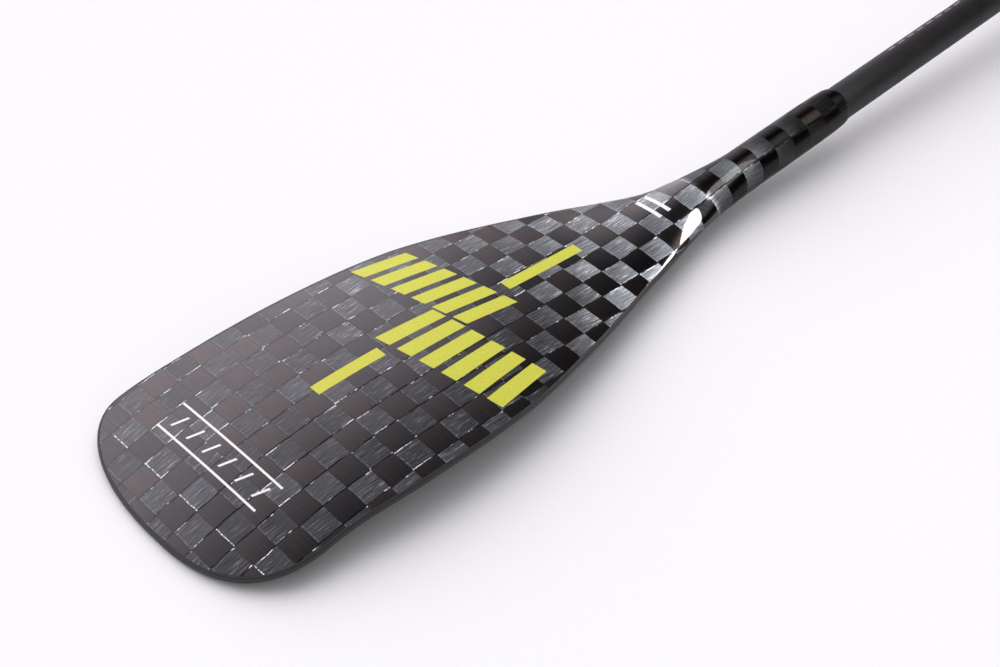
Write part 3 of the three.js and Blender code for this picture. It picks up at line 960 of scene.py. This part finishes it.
    # The clear coat is thinned where the grooves' shade is painted, so that it stays black.
    coat = g.times(g.math("MULTIPLY_ADD", dark, -0.93, 1.0), g.ramp(u, *SATIN_FROM, 1.0, 0.12))
    g.set(base_color=colour, metallic=g.math("MULTIPLY_ADD", shine, -0.85, 0.92),
          roughness=g.blend(crosswise, 0.45, 0.38), anisotropic=0.95,
          anisotropic_rotation=g.blend(crosswise, 0.25, 0.0), coat_weight=coat,
          coat_roughness=0.03, coat_ior=1.5)
    return g.material


def rim_material():
    """A dull moulded edge, speckled and a little scuffed."""
    g = Graph("moulded_edge")
    place_at = g.place()
    speckle = g.noise(place_at, 900.0, 3.0, 0.7)
    scuffs = g.ramp(g.noise(place_at, 60.0, 4.0, 0.7), 0.55, 0.75)
    tone = g.math("ADD", g.ramp(speckle, 0.3, 0.7, 0.018, 0.032), g.times(scuffs, 0.012))
    g.bump(g.math("ADD", speckle, g.times(scuffs, 0.5)), 0.00006)
    g.set(base_color=g.grey(tone, (1.0, 0.96, 1.04)), roughness=g.ramp(scuffs, 0, 1, 0.55, 0.7))
    return g.material


def satin_carbon():
    """The bare shaft: fine lengthwise fibre under a satin finish."""
    g = Graph("satin_carbon")
    u, v = g.cloth()
    fibre = g.noise(g.point(g.times(u, 1.5), g.times(v, 60.0)), 1.0, 3.0, 0.6)
    wave = g.noise(g.point(u, v, 2.0), 0.8, 2.0)
    tone = g.math("ADD", g.ramp(fibre, 0.3, 0.7, 0.015, 0.024), g.times(wave, 0.006))
    g.bump(fibre, 0.00003)
    g.set(base_color=g.grey(tone, (1.06, 0.95, 1.04)), roughness=g.ramp(wave, 0.3, 0.7, 0.48, 0.56),
          specular_ior_level=0.3)
    return g.material


def printed(name, colour, spread, gloss):
    """A print under the clear coat, with the cloth's faint texture in it."""
    g = Graph(name)
    grain = g.noise(g.place(), 700.0, 3.0, 0.6)
    low = tuple(c * (1 - spread) for c in colour)
    high = tuple(min(c * (1 + spread), 1) for c in colour)
    g.bump(grain, 0.00002)
    g.set(base_color=g.mix(g.ramp(grain, 0.3, 0.7), low, high), roughness=0.45,
          coat_weight=gloss, coat_roughness=0.06)
    return g.material


def foam(name, colour, cells):
    """Closed-cell foam. cells is how many there are in a metre."""
    g = Graph(name)
    cell = g.node("ShaderNodeTexVoronoi", feature="F1")
    g.feed(cell.inputs["Vector"], g.place())
    g.feed(cell.inputs["Scale"], cells)
    tone = g.ramp(cell.outputs["Distance"], 0.1, 0.8)
    dark = tuple(c * 0.75 for c in colour)
    g.bump(cell.outputs["Distance"], 0.0002)
    g.set(base_color=g.mix(tone, dark, colour), roughness=0.92)
    return g.material


def moulded(name, colour, roughness):
    """Moulded plastic or rubber with a fine spark-eroded texture."""
    g = Graph(name)
    texture = g.noise(g.place(), 500.0, 3.0, 0.6)
    broad = g.noise(g.place(), 40.0, 2.0)
    low = tuple(c * 0.85 for c in colour)
    g.bump(texture, 0.00005)
    g.set(base_color=g.mix(g.ramp(broad, 0.3, 0.7), low, colour),
          roughness=g.ramp(texture, 0.3, 0.7, roughness - 0.05, roughness + 0.08))
    return g.material


def metal(name, colour, roughness):
    """Worn metal: fine scratches and a little tarnish."""
    g = Graph(name)
    scratch = g.noise(g.place(), 1400.0, 2.0, 0.8)
    tarnish = g.ramp(g.noise(g.place(), 90.0, 3.0), 0.45, 0.75)
    dull = tuple(c * 0.72 for c in colour)
    g.bump(scratch, 0.00001)
    g.set(base_color=g.mix(tarnish, colour, dull), metallic=1.0,
          roughness=g.ramp(scratch, 0.3, 0.7, roughness, roughness + 0.15))
    return g.material


MATERIALS = {
    "blade_carbon": spread_tow("spread_tow"),
    "shaft_carbon": satin_carbon(),
    "edge_rim": rim_material(),
    "core_foam": foam("core_foam", (0.68, 0.62, 0.5), 700.0),
    "bung_foam": foam("bung_foam", (0.27, 0.29, 0.3), 400.0),
    "seal_rubber": moulded("seal_rubber", (0.008, 0.008, 0.008), 0.6),
    "black_plastic": moulded("black_nylon", (0.012, 0.012, 0.013), 0.5),
    "bush_plastic": moulded("white_acetal", (0.69, 0.69, 0.66), 0.4),
    "lever_plastic": moulded("lime_nylon", (0.58, 0.60, 0.03), 0.42),
    "steel": metal("stainless_steel", (0.49, 0.50, 0.52), 0.25),
    "brass": metal("turned_brass", (0.48, 0.31, 0.08), 0.28),
}
LIME_PRINT = printed("lime_print", (0.60, 0.60, 0.012), 0.07, 0.15)
WHITE_PRINT = printed("white_print", (0.86, 0.85, 0.86), 0.04, 0.4)
GREY_PRINT = printed("grey_print", (0.16, 0.155, 0.16), 0.1, 0.1)


# ---- Building ----

for side, half in (("right", "right_half"), ("left", "left_half")):
    back, outer = blade_skin(side, half, 1)
    face, _ = blade_skin(side, half, -1)
    surface = back_surface(outer)
    for piece in (back, face, sleeve(side, half)):
        paint(piece, MATERIALS["blade_carbon"])
    paint(edge_rim(side, half), MATERIALS["edge_rim"])
    tube = shaft_tube(side, half, TUBE_END[side])
    paint(tube, MATERIALS["shaft_carbon"])
    if side == "left":
        slit_tube(tube)
    lime = print_piece(side, half, "lime_print",
                       [print_slab(c, surface, (24, 8)) for c in lime_marks()])
    paint(lime, LIME_PRINT)
    white = print_piece(side, half, "white_print",
                        [print_slab(c, surface, (4, 24)) for c in white_marks()])
    paint(white, WHITE_PRINT)
    paint(shaft_marks(side, half), GREY_PRINT)

ferrule()
clamp()

# The nodes that no finer piece stands for, such as the foam inside, keep their own meshes.
for entry in frame["record"]["subparts"]:
    node = frame["nodes"][entry["node"]]
    if not node.hide_render:
        paint(node, MATERIALS[entry["material_slot"]])

# ---- Floor, lights and camera ----

REACH = 12.0                                  # half of the floor's side, in metres
# Steps of the room's light: from, to, and the value at each.
WALL = (0.36, 0.74, 0.13, 2.2)                # over the direction's y
WALL_END = (0.55, 0.66, 1.0, 0.2)             # over its x, times the wall
GLOW_FROM = (0.30, 0.72, 0.54)
GLOW = (0.42, 0.97, 0.44, 2.75)               # over the cosine to that direction
# Colours of what reflections, diffuse surfaces and the camera see of the room.
WALL_COLOUR, GLOW_COLOUR, ROOM_COLOUR = (1.0, 0.945, 1.02), (1.0, 0.985, 1.0), (0.93, 0.93, 0.94)
# The card over the right neck, in metres, and its power in watts.
NECK = Vector((-0.56, -0.045, 0.018))
CARD_WAY = Vector((0.62, -0.20, 0.76))        # from the neck to the card
CARD_DISTANCE, CARD_WIDTH, CARD_LENGTH, CARD_POWER = 0.35, 0.068, 0.25, 1.0
CARD_SLANT, CARD_SHIFT = (0.54, -0.84), (0.018, 0.004)    # each as (level, rising)
# The camera: its place in metres, its turn in degrees and its lens in millimetres.
CAMERA_PLACE = (-1.3109, -0.6566, 0.8541)
CAMERA_TURN = (45.194, 1.834, -43.452)
LENS, SENSOR = 59.04, 36


def lowest(side, slope):
    """The lowest place of a blade over a floor with that slope, as (x, height)."""
    best = None
    for name in ("edge_rim", "face_skin"):
        for vertex in frame["nodes"][f"{side}_{name}"].data.vertices:
            height = vertex.co.z - slope * vertex.co.x
            if best is None or height < best[1]:
                best = (vertex.co.x, height)
    return best


def floor():
    """The paddle lies on its two blades, so the floor touches both."""
    slope = 0.0
    rounds, clearance = 6, 0.0003
    for _ in range(rounds):
        (right_x, right_height), (left_x, left_height) = lowest("right", slope), lowest("left", slope)
        slope += (left_height - right_height) / (left_x - right_x)
    height = lowest("right", slope)[1] - clearance
    corners = [(x, y, height + slope * x) for x, y in
               ((-REACH, -REACH), (REACH, -REACH), (REACH, REACH), (-REACH, REACH))]
    mesh = bpy.data.meshes.new("floor")
    mesh.from_pydata(corners, [], [(0, 1, 2, 3)])
    sheet = bpy.data.objects.new("floor", mesh)
    bpy.context.scene.collection.objects.link(sheet)
    g = Graph("pale_floor")
    grain = g.noise(g.place(), 300.0, 2.0)
    g.set(base_color=g.mix(grain, (0.87, 0.865, 0.88), (0.90, 0.895, 0.91)), roughness=0.9,
          specular_ior_level=0.1)
    paint(sheet, g.material)


def studio():
    """A pale room. Reflections see a broad wall of light beyond the paddle's +Y side, the
    other surfaces are lit by a soft glow from high on that side, and seen directly the room
    is plain."""
    world = bpy.data.worlds.new("studio")
    world.use_nodes = True
    n = Nodes(world.node_tree)

    def background(strength, colour):
        made = n.node("ShaderNodeBackground")
        n.feed(made.inputs["Color"], colour)
        n.feed(made.inputs["Strength"], strength)
        return made.outputs[0]

    def choose(test, otherwise, then):
        made = n.node("ShaderNodeMixShader")
        for socket, value in zip(made.inputs, (test, otherwise, then)):
            n.feed(socket, value)
        return made.outputs[0]

    direction = n.node("ShaderNodeTexCoord").outputs["Generated"]
    x, y, _ = n.split(direction)
    wall = n.times(n.ramp(y, *WALL), n.ramp(x, *WALL_END))
    facing = n.node("ShaderNodeVectorMath", operation="DOT_PRODUCT")
    n.feed(facing.inputs[0], direction)
    n.feed(facing.inputs[1], Vector(GLOW_FROM).normalized())
    glow = n.ramp(facing.outputs["Value"], *GLOW)
    ray = n.node("ShaderNodeLightPath").outputs
    light = choose(ray["Is Diffuse Ray"], background(wall, WALL_COLOUR),
                   background(glow, GLOW_COLOUR))
    seen = choose(ray["Is Camera Ray"], light, background(1.0, ROOM_COLOUR))
    n.feed(n.tree.nodes["World Output"].inputs["Surface"], seen)
    bpy.context.scene.world = world


def neck_card():
    """A small bright card close over the right neck. It shows only in reflections."""
    away = CARD_WAY.normalized()
    level = Vector((0, 1, 0)).cross(away).normalized()
    rising = away.cross(level)
    long_axis = (CARD_SLANT[0] * level + CARD_SLANT[1] * rising).normalized()
    data = bpy.data.lights.new("neck_card", "AREA")
    data.shape = "ELLIPSE"
    data.size, data.size_y = CARD_WIDTH, CARD_LENGTH
    data.energy = CARD_POWER
    card = bpy.data.objects.new("neck_card", data)
    axes = Matrix((long_axis.cross(away), long_axis, away)).transposed().to_4x4()
    spot = NECK + CARD_DISTANCE * away + CARD_SHIFT[0] * level + CARD_SHIFT[1] * rising
    card.matrix_world = Matrix.Translation(spot) @ axes
    card.visible_camera = False
    card.visible_diffuse = False
    bpy.context.scene.collection.objects.link(card)


def camera():
    data = bpy.data.cameras.new("camera")
    data.sensor_width = SENSOR
    data.lens = LENS
    data.clip_start = 0.01
    view = bpy.data.objects.new("camera", data)
    view.location = CAMERA_PLACE
    view.rotation_euler = [math.radians(angle) for angle in CAMERA_TURN]
    bpy.context.scene.collection.objects.link(view)
    bpy.context.scene.camera = view


floor()
studio()
neck_card()
camera()
bpy.context.scene.view_settings.view_transform = "Standard"
